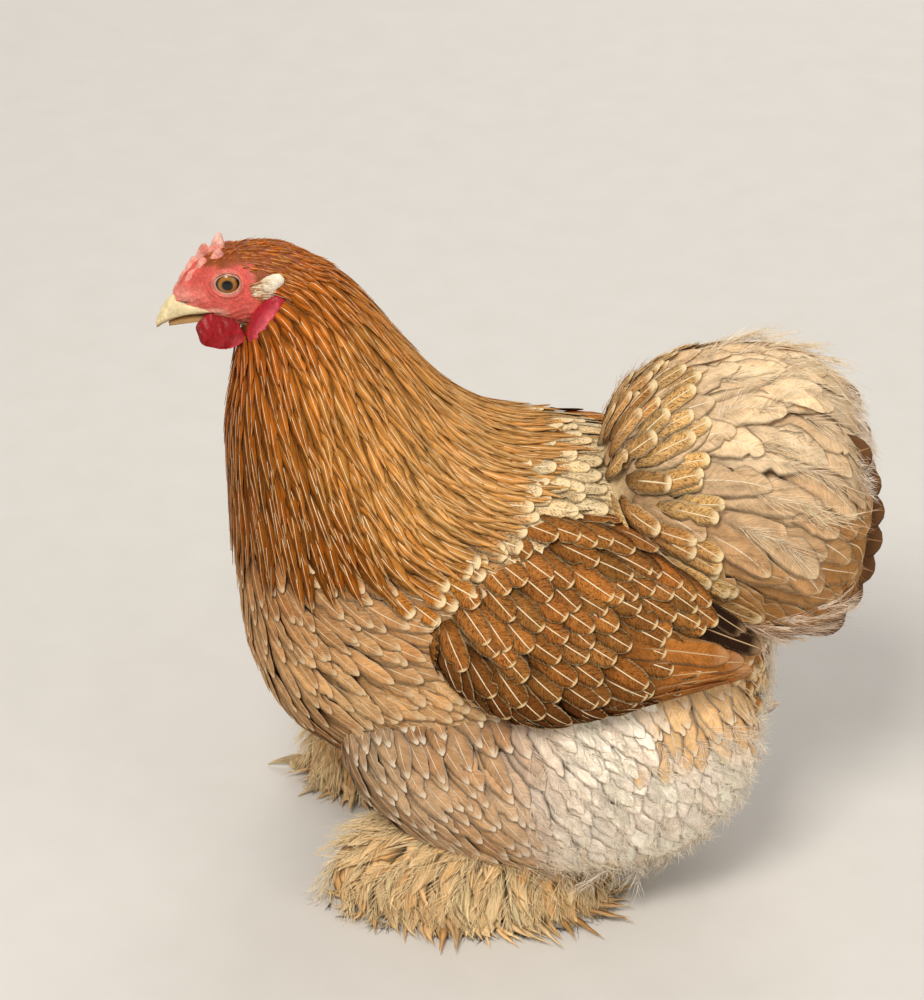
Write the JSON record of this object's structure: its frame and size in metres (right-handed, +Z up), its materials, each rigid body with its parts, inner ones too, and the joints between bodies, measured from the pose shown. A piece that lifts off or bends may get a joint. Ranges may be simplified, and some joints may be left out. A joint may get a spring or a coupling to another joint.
{
  "type": "brahma hen",
  "caption": "Life-size standing hen with a low lumpy comb, full neck hackle, folded wings, a round cushion tail, fluffy thighs and feathered feet",
  "frame": {"origin": "on the floor, below the middle of the hen's length and width", "axes": "+X from bill to tail, +Y from the hen's left side to its right, +Z up from the floor"},
  "size_m": [0.4011, 0.2396, 0.3911],
  "materials": {
    "face_skin": "bare pink-red skin, finely wrinkled round the eye, satin",
    "comb_skin": "pale pink-red pebbled flesh, soft satin",
    "wattle_skin": "crimson flesh with fine pebbled grain, satin",
    "ear_down": "short pale bristly feathers, matt",
    "bill_horn": "ivory yellow horn, browner at its lower edge, low gloss",
    "claw_horn": "dull horn, grey brown",
    "eye": "wet gloss, amber olive iris with a black pupil",
    "hackle_feathers": "orange gold feathers with thin pale shafts, soft sheen",
    "body_feathers": "buff feathers with pale edges and shafts, matt",
    "wing_feathers": "brown orange feathers, dark peppering, pale edges and shafts",
    "tail_feathers": "creamy buff cushion over dark brown main feathers",
    "fluff": "soft whitish buff fluff, matt",
    "boot_feathers": "shaggy golden buff feathers with pale tips",
    "toe_skin": "pale yellow scaled skin, dusty"
  },
  "bodies": {
    "root": {"head": "face_skin", "bill_upper": "bill_horn", "bill_lower": "bill_horn", "comb": "comb_skin", "eye_left": "eye", "wattle_left": "wattle_skin", "ear_lobe_left": "wattle_skin", "ear_left": "ear_down", "eye_right": "eye", "wattle_right": "wattle_skin", "ear_lobe_right": "wattle_skin", "ear_right": "ear_down", "neck": "hackle_feathers", "torso": "body_feathers", "tail": "tail_feathers", "wing_left": "wing_feathers", "thigh_left": "fluff", "shank_left": "boot_feathers", "foot_left": "toe_skin", "toe_left_inner": "toe_skin", "claw_left_inner": "claw_horn", "toe_left_middle": "toe_skin", "claw_left_middle": "claw_horn", "toe_left_outer": "toe_skin", "claw_left_outer": "claw_horn", "toe_left_back": "toe_skin", "claw_left_back": "claw_horn", "wing_right": "wing_feathers", "thigh_right": "fluff", "shank_right": "boot_feathers", "foot_right": "toe_skin", "toe_right_inner": "toe_skin", "claw_right_inner": "claw_horn", "toe_right_middle": "toe_skin", "claw_right_middle": "claw_horn", "toe_right_outer": "toe_skin", "claw_right_outer": "claw_horn", "toe_right_back": "toe_skin", "claw_right_back": "claw_horn"}
  },
  "joints": []
}
